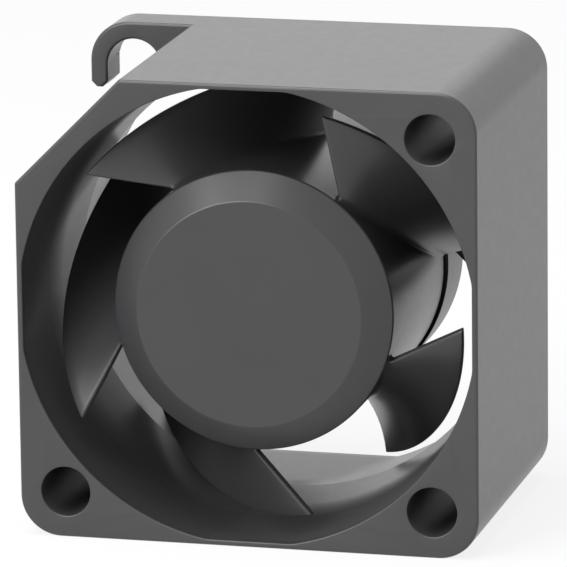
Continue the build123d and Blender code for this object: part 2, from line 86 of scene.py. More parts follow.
# Air passage: a round funnel to the throat with a flare behind it, cut off by flat sides
# that step inwards at the throat. A crease has rings close to both its sides. The lines
# are (depth, size) points.
MOUTH_RADIUS = 19.85
BEND_RADIUS = 19.57
BEND_DEPTH = 9.1
THROAT_RADIUS = 19.09
THROAT_DEPTH = 17.2
OUTLET_RADIUS = 20.1
FRONT_SIDE = 19.5
REAR_SIDE = 19.05
SIDE_STEP = 0.4
CREASE = 0.06
SIDE_BLEND = 0.05
RIM_EDGE = 0.12
PASSAGE_STEPS = 720
PASSAGE_ROUND = [(0.0, MOUTH_RADIUS), (BEND_DEPTH, BEND_RADIUS), (THROAT_DEPTH, THROAT_RADIUS),
                 (DEPTH, OUTLET_RADIUS)]
PASSAGE_FLAT = [(0.0, FRONT_SIDE), (THROAT_DEPTH - SIDE_STEP, FRONT_SIDE),
                (THROAT_DEPTH + SIDE_STEP, REAR_SIDE), (DEPTH, REAR_SIDE)]
PASSAGE_DEPTHS = [1.0, 4.0, 7.0, BEND_DEPTH - CREASE, BEND_DEPTH, BEND_DEPTH + CREASE, 11.0, 13.0,
                  15.0, THROAT_DEPTH - SIDE_STEP, THROAT_DEPTH - CREASE, THROAT_DEPTH,
                  THROAT_DEPTH + CREASE, THROAT_DEPTH + SIDE_STEP, 19.0, 21.0, 23.0, 25.0, 27.0]

# Impeller hub
HUB_RADIUS = 12.15
HUB_FRONT = 1.2
HUB_REAR = 21.5
HUB_FLAT_RADIUS = 9.75
HUB_BEVEL_DEPTH = 2.8
HUB_EDGE = 0.3
HUB_EDGE_STEPS = 6
HUB_STEPS = 256
CUP_RADIUS = 11.05
CUP_FRONT = 2.5
BUSH_RADIUS = 2.62
BUSH_FRONT = 2.3
BUSH_REAR = 6.9
BOSS_RADIUS = 3.42

# Motor base and lead slots
BASE_RADIUS = 12.4
BASE_FRONT = 22.1
BASE_INNER_RADIUS = 11.3
BASE_STEPS = 240
LEDGE_RADIUS = 10.3
LEDGE_DEPTH = 23.6
FLOOR_FRONT = 26.8
BASE_BOSS_FRONT = 24.3
BASE_BOSS_RADIUS = 5.62
TUBE_SEAT_RADIUS = 4.34
TUBE_REAR = 27.2
LIP_RADIUS = 3.12
RECESS_DEPTH = 0.3
RECESS_RADIUS = 11.2
SMALL_EDGE = 0.12
SLOT_WIDTH = 3.0
SLOT_HEIGHT = 1.4
SLOT_OVERRUN = 1.0
BASE_SLOT_ANGLE = 152.0
BASE_SLOT_LENGTH = 4.4
CORNER_SLOT_ANGLE = 135.0
CORNER_SLOT_RADIUS = 20.1
CORNER_SLOT_LENGTH = 9.3

# Blades and vanes. Each pair is a value at the root and at the tip: the angle and depth of
# the leading edge, how far the blade wraps about the axis and how long it is along it, and
# the slope with which it sets out. Stations are the sections between the fillets, and
# shares are their places along a vane. Slopes are measured over a small step.
BLADE_COUNT = 5
BLADE_TIP_RADIUS = 18.2
BLADE_LEAD_ANGLES = (51.8, 69.8)
BLADE_LEAD_DEPTHS = (3.5, 2.2)
BLADE_WRAPS = (46.6, 65.3)
BLADE_LENGTHS = (17.2, 18.7)
BLADE_ENTRY_SLOPES = (29.5, 21.0)
BLADE_THICKNESS = 0.7
BLADE_EDGE = 0.2
BLADE_TIP_EDGE = 0.12
BLADE_FILLET = 0.45
BLADE_STATIONS = 7
BLADE_STEPS = 90
VANE_COUNT = 3
VANE_FIRST_ANGLE = 8.0
VANE_LEAD_ANGLES = (0.0, -20.0)
VANE_LEAD_DEPTHS = (22.4, 22.4)
VANE_WRAPS = (-13.0, -9.0)
VANE_LENGTHS = (6.0, 6.0)
VANE_ENTRY_SLOPES = (42.0, 46.0)
VANE_THICKNESS = 0.9
VANE_EDGE = 0.25
VANE_FILLET = 0.5
VANE_WALL = 19.6
VANE_WALL_OVERLAP = 0.3
VANE_INSET = 0.04
VANE_SHARES = (0.3, 0.5, 0.7)
VANE_STEPS = 40
ROOT_OVERLAP = 0.5
SLOPE_STEP = 0.01

# Fillet: the parts of its size at which it has a ring, and the most that it grows
FILLET_SHARES = (0.0, 0.05, 0.12, 0.22, 0.36, 0.54, 0.76, 1.0)
FILLET_GROWTH = 0.74

# Coils
COIL_COUNT = 4
COIL_THICKNESS = 1.4
COIL_CORNER = 0.8
COIL_SHARPEST_CORNER = 0.01
COIL_CORNER_STEPS = 6
WIRE_DIAMETER = 0.17
WIRE_STEPS = 7

# Meshes: the steps of a small rounded edge, the radius that counts as the axis, the
# distance in metres at which vertices merge, and the angles from which an edge is sharp
EDGE_STEPS = 4
AXIS_RADIUS = 1e-6
MERGE_DISTANCE = 1e-7
SHARP_ANGLE = 32.0
CAD_SHARP_ANGLE = 35.0

# Finish: where the painted shade and the added roughness in the funnel fade out, and the
# part of a noise's range over which tones and gloss vary
PAINTED_SHADE_FADE_START = BEND_DEPTH - 1.0
PAINTED_SHADE_FADE_END = BEND_DEPTH + 3.0
NOISE_RANGE = (0.3, 0.7)
PLASTIC_IOR = 1.5

# Floor, background and light. A lamp has a name, a place, a size and a power in watts.
FLOOR_REACH = 1500.0
FLOOR_TONE = 0.85
FLOOR_WHITE_SHARE = 0.85
GLOW = 0.32
LAMPS = [("top_light", (-60, -60, 420), 300, 1.6),
         ("front_light", (-250, -420, 260), 320, 2.1),
         ("back_light", (-120, 450, 120), 300, 0.12)]


def place_camera():
    """Camera at the photo's viewing angle."""
    data = bpy.data.cameras.new("camera")
    data.sensor_width = SENSOR
    data.lens = LENS
    data.clip_start = NEAREST_SEEN * MM
    data.clip_end = FURTHEST_SEEN * MM
    turn = Vector(CAMERA_TURN)
    straight = Matrix(((1, 0, 0), (0, 0, -1), (0, 1, 0)))
    right, down, ahead = Matrix.Rotation(turn.length, 3, turn.normalized()) @ straight
    axes = Matrix((right, -down, -ahead)).transposed().to_4x4()
    camera = bpy.data.objects.new("camera", data)
    camera.matrix_world = Matrix.Translation(Vector(CAMERA_PLACE) * MM) @ axes
    bpy.context.scene.collection.objects.link(camera)
    bpy.context.scene.camera = camera


place_camera()


# Outlines: closed lists of (x, z) points, counter-clockwise as seen from the inlet, or
# clockwise for a mounting hole, whose wall then widens at its edges


def direction(turn):
    """Unit vector (x, z) at a turn."""
    return Vector((cos(turn), sin(turn)))


def around(count):
    """Turns that go round evenly."""
    return [2 * pi * step / count for step in range(count)]


def quarter(steps):
    """Turns from 0 to a quarter of the way round."""
    return [pi / 2 * step / steps for step in range(steps + 1)]


def arc(centre, radius, start, end, steps):
    """Points on an arc between two angles."""
    turns = [radians(start + (end - start) * step / steps) for step in range(steps + 1)]
    return [Vector(centre) + radius * direction(turn) for turn in turns]


def rounded(corners, steps):
    """Outline of (x, z, radius) corners, each rounded by its radius."""
    points = []
    for index, (x, z, radius) in enumerate(corners):
        here = Vector((x, z))
        if not radius:
            points.append(here)
            continue
        before = (Vector(corners[index - 1][:2]) - here).normalized()
        after = (Vector(corners[(index + 1) % len(corners)][:2]) - here).normalized()
        half = before.angle(after) / 2
        centre = here + (before + after).normalized() * (radius / sin(half))
        first = here + before * (radius / tan(half)) - centre
        last = here + after * (radius / tan(half)) - centre
        start = atan2(first.y, first.x)
        sweep = (atan2(last.y, last.x) - start + pi) % (2 * pi) - pi
        points += [centre + radius * direction(start + sweep * step / steps)
                   for step in range(steps + 1)]
    return points


def inset(points, distance):
    """Outline moved inwards by a distance."""
    moved = []
    for index, point in enumerate(points):
        first = (point - points[index - 1]).normalized()
        second = (points[(index + 1) % len(points)] - point).normalized()
        inwards = Vector((-first.y - second.y, first.x + second.x))
        moved.append(point + inwards * (distance / (1 + first.dot(second))))
    return moved


def wall_with_edges(outline, front, rear, edge):
    """(outline, depth) rings of a straight wall, rounded off at the front and the rear."""
    rings = [(inset(outline, edge * (1 - sin(turn))), edge * (1 - cos(turn)))
             for turn in quarter(FACE_EDGE_STEPS)]
    return ([(points, front + depth) for points, depth in rings]
            + [(points, rear - depth) for points, depth in reversed(rings)])


def on_line(line, depth):
    """Size at a depth on a line of (depth, size) points."""
    for (start, first), (end, last) in zip(line, line[1:]):
        if depth <= end:
            return first + (last - first) * (depth - start) / (end - start)
    return line[-1][1]


def passage_radius(turn, depth):
    """Radius of the air passage at a turn, with its flat sides blended in."""
    round_part = on_line(PASSAGE_ROUND, depth)
    flat_part = on_line(PASSAGE_FLAT, depth) / max(abs(cos(turn)), abs(sin(turn)))
    mixed = max(SIDE_BLEND - abs(round_part - flat_part), 0.0)
    return min(round_part, flat_part) - mixed ** 2 / (4 * SIDE_BLEND)


# Solids made of rings of points


def metres_from_middle(depth):
    """Y in the scene of a depth."""
    return (depth - DEPTH / 2) * MM


class Solid:
    """A closed mesh, built ring by ring."""

    def __init__(self, name):
        self.name = name
        self.mesh = bmesh.new()

    def ring(self, points):
        """Vertices at points (x, depth, z)."""
        return [self.mesh.verts.new((x * MM, metres_from_middle(depth), z * MM))
                for x, depth, z in points]

    def band(self, near, far):
        """Faces between two rings, either of which may be a single point."""
        for index in range(max(len(near), len(far))):
            after = index + 1
            corners = [near[index % len(near)], near[after % len(near)],
                       far[after % len(far)], far[index % len(far)]]
            corners = list(dict.fromkeys(corners))
            if len(corners) > 2:
                self.mesh.faces.new(corners)

    def fill(self, rings):
        """Flat face between rings that lie in one plane."""
        edges = [self.mesh.edges.get((ring[index - 1], ring[index]))
                 for ring in rings for index in range(len(ring))]
        bmesh.ops.triangle_fill(self.mesh, edges=edges, use_beauty=True)

    def plate(self, walls):
        """Solid between a front and a rear plane, bounded by walls of (outline, depth) rings."""
        fronts, rears = [], []
        for wall in walls:
            rings = [self.ring([(x, depth, z) for x, z in outline]) for outline, depth in wall]
            for near, far in zip(rings, rings[1:]):
                self.band(near, far)
            fronts.append(rings[0])
            rears.append(rings[-1])
        self.fill(fronts)
        self.fill(rears)

    def turned(self, corners, steps, edge_steps=EDGE_STEPS):
        """Solid turned about the rotor axis from (radius, depth, edge rounding) corners."""
        rings = []
        for radius, depth in rounded(corners, edge_steps):
            turns = around(steps if radius > AXIS_RADIUS else 1)
            rings.append(self.ring([(radius * cos(turn), depth, radius * sin(turn))
                                    for turn in turns]))
        for near, far in zip(rings, rings[1:] + rings[:1]):
            self.band(near, far)

    def done(self):
        """The mesh as a Blender object."""
        bmesh.ops.remove_doubles(self.mesh, verts=self.mesh.verts, dist=MERGE_DISTANCE)
        bmesh.ops.recalc_face_normals(self.mesh, faces=self.mesh.faces)
        data = bpy.data.meshes.new(self.name)
        self.mesh.to_mesh(data)
        self.mesh.free()
        piece = bpy.data.objects.new(self.name, data)
        bpy.context.scene.collection.objects.link(piece)
        return piece


def apply_modifiers(piece):
    """Make a piece's modifiers part of its mesh."""
    old = piece.data
    shown = piece.evaluated_get(bpy.context.evaluated_depsgraph_get())
    piece.data = bpy.data.meshes.new_from_object(shown)
    piece.modifiers.clear()
    bpy.data.meshes.remove(old)


def combined(piece, tool, operation):
    """The piece joined with, cut by or kept inside a tool, which is used up."""
    modifier = piece.modifiers.new("combine", "BOOLEAN")
    modifier.operation = operation
    modifier.solver = "MANIFOLD"
    modifier.object = tool
    apply_modifiers(piece)
    used = tool.data
    bpy.data.objects.remove(tool)
    bpy.data.meshes.remove(used)
    return piece


def block(name, angle, radius, rear, width, height, length):
    """Block that lies along a radius, from its rear depth towards the inlet."""
    outwards = direction(radians(angle))
    beside = Vector((-outwards.y, outwards.x)) * width / 2
    near = outwards * (radius - length / 2)
    far = outwards * (radius + length / 2)
    outline = [near - beside, far - beside, far + beside, near + beside]
    solid = Solid(name)
    solid.plate([[(outline, rear - height), (outline, rear)]])
    return solid.done()


# Blades


class Blade:
    """Twisted blade. Each pair is a value at the blade's root and at its tip."""

    def __init__(self, radii, lead_angles, lead_depths, wraps, lengths, entry_slopes,
                 thickness, edge):
        self.leads = [radius * direction(radians(angle))
                      for radius, angle in zip(radii, lead_angles)]
        self.lead_depths = lead_depths
        self.wraps = wraps
        self.lengths = lengths
        self.entry_slopes = entry_slopes
        self.thickness = thickness
        self.edge = edge

    def span_at(self, radius):
        """Share of the way from root to tip at which the leading edge has a radius."""
        start = self.leads[0]
        run = self.leads[1] - start
        along = start.dot(run)
        spare = along ** 2 - run.length_squared * (start.length_squared - radius ** 2)
        return (sqrt(spare) - along) / run.length_squared

    def surface(self, span, along):
        """Point (x, depth, z) on the blade's surface."""
        def blend(pair):
            return pair[0] + (pair[1] - pair[0]) * span

        lead = blend(self.leads)
        wrap = radians(blend(self.wraps))
        entry = tan(radians(blend(self.entry_slopes))) * lead.length * abs(wrap)
        turn = atan2(lead.y, lead.x) - wrap * along
        depth = blend(self.lead_depths) + entry * along
        depth += (blend(self.lengths) - entry) * along ** 2
        return Vector((lead.length * cos(turn), depth, lead.length * sin(turn)))

    def section(self, span, growth, count):
        """(along, run on, across) spots once round a section.

        Along is a share of the blade's length, run on is how far a spot lies beyond that,
        and across is how far it lies through the thickness.
        """
        near, far = -growth, self.thickness + growth
        edge = min(self.edge, (far - near) / 2)
        shares = []
        for end, inner in ((0.0, SLOPE_STEP), (1.0, 1.0 - SLOPE_STEP)):
            run = (self.surface(span, end) - self.surface(span, inner)).length
            shares.append(edge * SLOPE_STEP / run)
        sides = [shares[0] + (1 - sum(shares)) * spot / count for spot in range(count + 1)]
        turns = quarter(EDGE_STEPS)
        leave = [(growth - edge * (1 - sin(turn)), edge * (1 - cos(turn)))
                 for turn in turns[1:]]
        join = [(growth - edge * (1 - cos(turn)), edge * (1 - sin(turn)))
                for turn in turns[:-1]]
        trailing = ([(1.0, run, near + rise) for run, rise in leave]
                    + [(1.0, run, far - rise) for run, rise in join])
        leading = ([(0.0, -run, far - rise) for run, rise in leave]
                   + [(0.0, -run, near + rise) for run, rise in join])
        return ([(along, 0.0, near) for along in sides] + trailing
                + [(along, 0.0, far) for along in reversed(sides)] + leading)

    def spot(self, span, radius, wall_share, turn, along, run_on, across):
        """Point (x, depth, z) of one spot, at its section's radius."""
        here = self.surface(span, along)
        forward = (self.surface(span, along + SLOPE_STEP)
                   - self.surface(span, along - SLOPE_STEP))
        outward = (self.surface(span + SLOPE_STEP, along)
                   - self.surface(span - SLOPE_STEP, along))
        across_way = outward.cross(forward).normalized()
        here = here + forward.normalized() * run_on + across_way * across
        turn += atan2(here.z, here.x)
        if wall_share:
            radius += (passage_radius(turn, min(here.y, DEPTH)) - VANE_WALL) * wall_share
        return radius * cos(turn), here.y, radius * sin(turn)

    def solid(self, name, stations, angle, count):
        """Blade through (radius, growth, share of the wall's shape) stations."""
        solid = Solid(name)
        rings = []
        for radius, growth, wall_share in stations:
            span = self.span_at(radius)
            spots = self.section(span, growth, count)
            rings.append(solid.ring([self.spot(span, radius, wall_share, radians(angle),
                                               *spot) for spot in spots]))
        for near, far in zip(rings, rings[1:]):
            solid.band(near, far)
        back = count + 1 + 2 * EDGE_STEPS
        for ring in (rings[0], rings[-1]):
            for index in range(count):
                other = back + count - index
                solid.mesh.faces.new((ring[index], ring[index + 1], ring[other - 1],
                                      ring[other]))
            solid.mesh.faces.new(ring[count:back + 1])
            solid.mesh.faces.new(ring[back + count:] + ring[:1])
        return solid.done()


def fillet_steps(fillet):
    """(distance from a wall, growth) steps of a fillet, from the wall outwards."""
    steps = []
    for share in FILLET_SHARES:
        growth = fillet * (1 - sqrt(1 - (1 - share) ** 2))
        steps.append((fillet * share, min(growth, fillet * FILLET_GROWTH)))
    return steps


# Housing


def make_shell():
    """Square body with its holes and air passage."""
    half = HALF_SIZE
    cut = half - CUT_CORNER_LEG
    outline = rounded([(half, half, CORNER_RADIUS), (-cut, half, CUT_EDGE_RADIUS),
                       (-half, cut, CUT_EDGE_RADIUS), (-half, -half, CORNER_RADIUS),
                       (half, -half, CORNER_RADIUS)], CORNER_STEPS)
    walls = [wall_with_edges(outline, 0.0, DEPTH, FACE_EDGE), passage_wall()]
    for centre in HOLES:
        hole = arc(centre, HOLE_RADIUS, 360, 0, HOLE_STEPS)[:-1]
        walls.append(wall_with_edges(hole, 0.0, DEPTH, HOLE_EDGE))
    shell = Solid("housing")
    shell.plate(walls)
    return shell.done()


def passage_wall():
    """(outline, depth) rings of the air passage, with its rims rounded off."""
    edge = [(RIM_EDGE * (1 - cos(turn)), RIM_EDGE * (1 - sin(turn)))
            for turn in quarter(EDGE_STEPS)]
    levels = edge + [(depth, 0.0) for depth in PASSAGE_DEPTHS]
    levels += [(DEPTH - depth, wider) for depth, wider in reversed(edge)]
    return [([(passage_radius(turn, depth) + wider) * direction(turn)
              for turn in around(PASSAGE_STEPS)], depth) for depth, wider in levels]


def make_hook():
    """Wire hook behind the cut corner: bevelled tip, round arm, and a root in the body."""
    half = HALF_SIZE
    tip = half - HOOK_REACH
    middle = half - CORNER_RADIUS
    top_end = half - CUT_CORNER_LEG - HOOK_OVERLAP
    arm_inside = HOOK_ARM - half
    centre = Vector((arm_inside + HOOK_RADIUS, half - HOOK_ARM - HOOK_RADIUS))
    beyond_cut = (centre.y - centre.x - 2 * half + CUT_CORNER_LEG) / sqrt(2)
    meet = radians(-45) + acos(beyond_cut / HOOK_RADIUS)
    foot = centre + HOOK_RADIUS * direction(meet)
    sunk = HOOK_OVERLAP / 2
    outline = [Vector((-half, tip + HOOK_TIP_BEVEL))]
    outline += arc((-middle, middle), CORNER_RADIUS, 180, 90, HOOK_STEPS)
    outline += [Vector((-top_end, half)), foot + Vector((sunk, -sunk))]
    outline += arc(centre, HOOK_RADIUS, degrees(meet), 180, HOOK_STEPS)
    outline += [Vector((arm_inside, tip + HOOK_TIP_BEVEL)),
                Vector((arm_inside - HOOK_TIP_BEVEL, tip)),
                Vector((HOOK_TIP_BEVEL - half, tip))]
    outline.reverse()
    hook = Solid("hook")
    hook.plate([wall_with_edges(outline, DEPTH - HOOK_DEPTH, DEPTH, FACE_EDGE)])
    return hook.done()


def make_motor_base():
    """Cup behind the impeller, with a seat for the bearing tube and a slot for the leads."""
    corners = [(TUBE_SEAT_RADIUS, BASE_BOSS_FRONT), (TUBE_SEAT_RADIUS, TUBE_REAR),
               (LIP_RADIUS, TUBE_REAR), (LIP_RADIUS, DEPTH - RECESS_DEPTH),
               (RECESS_RADIUS, DEPTH - RECESS_DEPTH), (RECESS_RADIUS, DEPTH),
               (BASE_RADIUS, DEPTH), (BASE_RADIUS, BASE_FRONT), (BASE_INNER_RADIUS, BASE_FRONT),
               (BASE_INNER_RADIUS, LEDGE_DEPTH), (LEDGE_RADIUS, LEDGE_DEPTH),
               (LEDGE_RADIUS, FLOOR_FRONT), (BASE_BOSS_RADIUS, FLOOR_FRONT),
               (BASE_BOSS_RADIUS, BASE_BOSS_FRONT)]
    base = Solid("motor_base")
    base.turned([(radius, depth, SMALL_EDGE) for radius, depth in corners], BASE_STEPS)
    slot = block("base_slot", BASE_SLOT_ANGLE, BASE_RADIUS, FLOOR_FRONT, SLOT_WIDTH,
                 SLOT_HEIGHT, BASE_SLOT_LENGTH)
    return combined(base.done(), slot, "DIFFERENCE")


def make_vane(angle):
    """Stator vane from the motor base into the body, filleted at both ends.

    It keeps to the motor base's depth.
    """
    vane = Blade((BASE_RADIUS, THROAT_RADIUS), VANE_LEAD_ANGLES, VANE_LEAD_DEPTHS, VANE_WRAPS,
                 VANE_LENGTHS, VANE_ENTRY_SLOPES, VANE_THICKNESS, VANE_EDGE)
    steps = fillet_steps(VANE_FILLET)
    stations = [(BASE_RADIUS - ROOT_OVERLAP, steps[0][1], 0.0)]
    stations += [(BASE_RADIUS + away, growth, 0.0) for away, growth in steps]
    length = VANE_WALL - BASE_RADIUS
    stations += [(BASE_RADIUS + length * share, 0.0, share) for share in VANE_SHARES]
    stations += [(VANE_WALL - away, growth, 1.0) for away, growth in reversed(steps)]
    stations.append((VANE_WALL + VANE_WALL_OVERLAP, steps[0][1], 1.0))
    front = BASE_FRONT + VANE_INSET
    rear = DEPTH - VANE_INSET
    wide = 4 * HALF_SIZE
    kept = block("kept", 0.0, 0.0, rear, wide, rear - front, wide)
    return combined(vane.solid("vane", stations, angle, VANE_STEPS), kept, "INTERSECT")


def make_housing():
    """Body, hook, motor base and vanes as one moulding."""
    housing = combined(make_shell(), make_hook(), "UNION")
    slot = block("corner_slot", CORNER_SLOT_ANGLE, CORNER_SLOT_RADIUS, DEPTH + SLOT_OVERRUN,
                 SLOT_WIDTH, SLOT_HEIGHT + SLOT_OVERRUN, CORNER_SLOT_LENGTH)
    combined(housing, slot, "DIFFERENCE")
    combined(housing, make_motor_base(), "UNION")
    for number in range(VANE_COUNT):
        combined(housing, make_vane(VANE_FIRST_ANGLE + 360 * number / VANE_COUNT), "UNION")
    return housing


# Impeller


def make_hub():
    """Hub cup with a bevelled front and a boss for the shaft's bush."""
    corners = [(0.0, HUB_FRONT, 0.0), (HUB_FLAT_RADIUS, HUB_FRONT, HUB_EDGE),
               (HUB_RADIUS, HUB_BEVEL_DEPTH, HUB_EDGE), (HUB_RADIUS, HUB_REAR, SMALL_EDGE),
               (CUP_RADIUS, HUB_REAR, SMALL_EDGE), (CUP_RADIUS, CUP_FRONT, SMALL_EDGE),
               (BOSS_RADIUS, CUP_FRONT, SMALL_EDGE), (BOSS_RADIUS, BUSH_REAR, SMALL_EDGE),
               (BUSH_RADIUS, BUSH_REAR, SMALL_EDGE), (BUSH_RADIUS, BUSH_FRONT, 0.0),
               (0.0, BUSH_FRONT, 0.0)]
    hub = Solid("hub")
    hub.turned(corners, HUB_STEPS, HUB_EDGE_STEPS)
    return hub.done()


def make_blade(angle):
    """Impeller blade, filleted at the hub and rounded off at its tip."""
    blade = Blade((HUB_RADIUS, BLADE_TIP_RADIUS), BLADE_LEAD_ANGLES, BLADE_LEAD_DEPTHS,
                  BLADE_WRAPS, BLADE_LENGTHS, BLADE_ENTRY_SLOPES, BLADE_THICKNESS, BLADE_EDGE)
    steps = fillet_steps(BLADE_FILLET)
    stations = [(HUB_RADIUS - ROOT_OVERLAP, steps[0][1], 0.0)]
    stations += [(HUB_RADIUS + away, growth, 0.0) for away, growth in steps]
    first = HUB_RADIUS + BLADE_FILLET
    last = BLADE_TIP_RADIUS - BLADE_TIP_EDGE
    stations += [(first + (last - first) * station / BLADE_STATIONS, 0.0, 0.0)
                 for station in range(1, BLADE_STATIONS)]
    stations += [(last + BLADE_TIP_EDGE * sin(turn), -BLADE_TIP_EDGE * (1 - cos(turn)), 0.0)
                 for turn in quarter(EDGE_STEPS)]
    return blade.solid("blade", stations, angle, BLADE_STEPS)


def make_impeller():
    """Hub and blades as one moulding."""
    impeller = make_hub()
    for number in range(BLADE_COUNT):
        combined(impeller, make_blade(360 * number / BLADE_COUNT), "UNION")
    return impeller


# Coils


def scallops(length):
    """(along, in) points of a row of wires, as even as the length allows."""
    count = round(length / WIRE_DIAMETER)
    wire = length / count
    points = []
    for number in range(count):
        for step in range(WIRE_STEPS):
            turn = pi * (step + 0.5) / WIRE_STEPS
            points.append(((number + 0.5) * wire - cos(turn) * wire / 2,
                           (1 - sin(turn)) * wire / 2))
    return points


def make_coil(angle):
    """Coil wound on the tooth at an angle, with its wires in even rows."""
    low, high = (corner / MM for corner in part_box("stator_coil_1"))
    start, end = low.x, high.x
    middle = (low.y + high.y) / 2 + DEPTH / 2
    inner_height = (high.y - low.y) / 2 - COIL_THICKNESS
    inner_width = high.z - COIL_THICKNESS
    across_layers = scallops(COIL_THICKNESS)
    profile = [(start, 0.0)]
    profile += [(start + sunk, out) for out, sunk in across_layers]
    profile += [(start + along, COIL_THICKNESS - sunk) for along, sunk in scallops(end - start)]
    profile += [(end - sunk, COIL_THICKNESS - out) for out, sunk in across_layers]
    profile.append((end, 0.0))
    outwards = direction(radians(angle))
    beside = Vector((-outwards.y, outwards.x))
    coil = Solid("coil")
    rings = []
    for radius, out in profile:
        tall = inner_height + out
        wide = inner_width + out
        corner = max(COIL_CORNER * out / COIL_THICKNESS, COIL_SHARPEST_CORNER)
        outline = rounded([(wide, tall, corner), (-wide, tall, corner),
                           (-wide, -tall, corner), (wide, -tall, corner)], COIL_CORNER_STEPS)
        places = [(outwards * radius + beside * across, up) for across, up in outline]
        rings.append(coil.ring([(place.x, middle + up, place.y) for place, up in places]))
    for near, far in zip(rings, rings[1:] + rings[:1]):
        coil.band(near, far)
    return coil.done()


# Materials


def shade(colour, factor):
    """Lighter or darker colour, with no channel above 1."""
    return tuple(min(1.0, channel * factor) for channel in colour)


class Look:
    """One material's node tree, with short calls to build it."""

    def __init__(self, name, **settings):
        self.material = bpy.data.materials.new(name)
        self.material.use_nodes = True
        self.tree = self.material.node_tree
        self.tree.nodes.clear()
        output = self.add("ShaderNodeOutputMaterial")
        self.shader = self.add("ShaderNodeBsdfPrincipled", **settings)
        self.link(self.shader, "BSDF", output, "Surface")
        self.place = self.add("ShaderNodeTexCoord")

    def add(self, kind, **values):
        """New node, with its settings and sockets given by name."""
        node = self.tree.nodes.new(kind)
        for name, value in values.items():
            if hasattr(node, name):
                setattr(node, name, value)
            else:
                node.inputs[name.replace("_", " ")].default_value = value
        return node

    def link(self, source, output, target, socket):
        """Link from a node's output to another node's socket."""
        self.tree.links.new(source.outputs[output], target.inputs[socket])

    def noise(self, size, detail=3.0, roughness=0.5, stretch=(1.0, 1.0, 1.0)):
        """Noise whose spots are about this many millimetres wide."""
        mapping = self.add("ShaderNodeMapping", Scale=stretch)
        self.link(self.place, "Object", mapping, "Vector")
        node = self.add("ShaderNodeTexNoise", Scale=1 / (size * MM), Detail=detail,
                        Roughness=roughness)
        self.link(mapping, "Vector", node, "Vector")
        return node

    def wave(self, **settings):
        """Even lines, pi / 10 / Scale metres apart."""
        node = self.add("ShaderNodeTexWave", **settings)
        self.link(self.place, "Object", node, "Vector")
        return node

    def tones(self, source, colour, dark, light, positions=NOISE_RANGE):
        """Shades of a colour, which run from dark to light between two source values."""
        ramp = self.add("ShaderNodeValToRGB")
        for element, position, factor in zip(ramp.color_ramp.elements, positions, (dark, light)):
            element.position = position
            element.color = (*shade(colour, factor), 1.0)
        self.link(source, "Fac", ramp, "Fac")
        self.link(ramp, "Color", self.shader, "Base Color")
        return ramp

    def gloss(self, source, roughness, variation):
        """Roughness that varies with the source."""
        start, end = NOISE_RANGE
        node = self.add("ShaderNodeMapRange", From_Min=start, From_Max=end,
                        To_Min=roughness - variation, To_Max=roughness + variation)
        self.link(source, "Fac", node, "Value")
        self.link(node, "Result", self.shader, "Roughness")
        return node

    def bump(self, source, depth):
        """Bump of this many millimetres."""
        node = self.add("ShaderNodeBump", Strength=1.0, Distance=depth * MM)
        self.link(source, "Fac", node, "Height")
        self.link(node, "Normal", self.shader, "Normal")

    def compared(self, source, output, operation, limit):
        """1 where the source is on one side of a limit, and 0 elsewhere."""
        node = self.add("ShaderNodeMath", operation=operation)
        node.inputs[1].default_value = limit
        self.link(source, output, node, 0)
        return node

    def product(self, first, second):
        """Product of two nodes' first outputs."""
        node = self.add("ShaderNodeMath", operation="MULTIPLY")
        self.link(first, 0, node, 0)
        self.link(second, 0, node, 1)
        return node

    def funnel_shade_and_roughness_mask(self):
        """1 in the air passage's front part, fading to 0 behind the bend: the mask of its painted
        shade and added roughness.
        """
        parts = self.add("ShaderNodeSeparateXYZ")
        self.link(self.place, "Object", parts, "Vector")
        flattened = self.add("ShaderNodeMapping", Scale=(1.0, 0.0, 1.0))
        self.link(self.place, "Object", flattened, "Vector")
        radius = self.add("ShaderNodeVectorMath", operation="LENGTH")
        self.link(flattened, "Vector", radius, 0)
        front = self.add("ShaderNodeMapRange", From_Min=metres_from_middle(PAINTED_SHADE_FADE_START),
                         From_Max=metres_from_middle(PAINTED_SHADE_FADE_END), To_Min=1.0, To_Max=0.0)
        self.link(parts, "Y", front, "Value")
        inside = self.compared(radius, "Value", "LESS_THAN", (MOUTH_RADIUS + RIM_EDGE) * MM)
        behind_face = self.compared(parts, "Y", "GREATER_THAN", metres_from_middle(RIM_EDGE))
        return self.product(self.product(inside, front), behind_face)

    def paint_funnel_shade(self, ramp, gloss, added_roughness, painted_shade_share):
        """More roughness, and painted shade as a share of the colour, in the air passage's front
        part.
        """
        funnel = self.funnel_shade_and_roughness_mask()
        rougher = self.add("ShaderNodeMath", operation="MULTIPLY_ADD")
        rougher.inputs[1].default_value = added_roughness
        self.link(funnel, "Value", rougher, 0)
        self.link(gloss, "Result", rougher, 2)
        self.link(rougher, "Value", self.shader, "Roughness")
        # Painted shade: the colour's factor runs from 1 down to the share inside the funnel
        share = self.add("ShaderNodeMapRange", To_Min=1.0, To_Max=painted_shade_share)
        self.link(funnel, "Value", share, "Value")
        darker = self.add("ShaderNodeVectorMath", operation="SCALE")
        self.link(ramp, "Color", darker, 0)
        self.link(share, "Result", darker, "Scale")
        self.link(darker, "Vector", self.shader, "Base Color")


def moulded(name, colour, roughness, grain=0.22, depth=0.0015, funnel=None):
    """Moulded plastic: fine spark-eroded grain, slight flow marks and uneven gloss.

    The funnel is the added roughness and the share of the colour, which paints shade, in the air
    passage.
    """
    look = Look(name, IOR=PLASTIC_IOR)
    flow = look.noise(size=6.0, detail=4.0, roughness=0.55)
    ramp = look.tones(flow, colour, dark=0.97, light=1.03)
    streaks = look.noise(size=0.9, stretch=(1.0, 0.5, 1.0))
    gloss = look.gloss(streaks, roughness, variation=0.012)
    if funnel:
        # Painted shade and added roughness in the air passage's front part
        look.paint_funnel_shade(ramp, gloss, *funnel)
    look.bump(look.noise(size=grain, detail=2.0, roughness=0.6), depth)
    return look.material


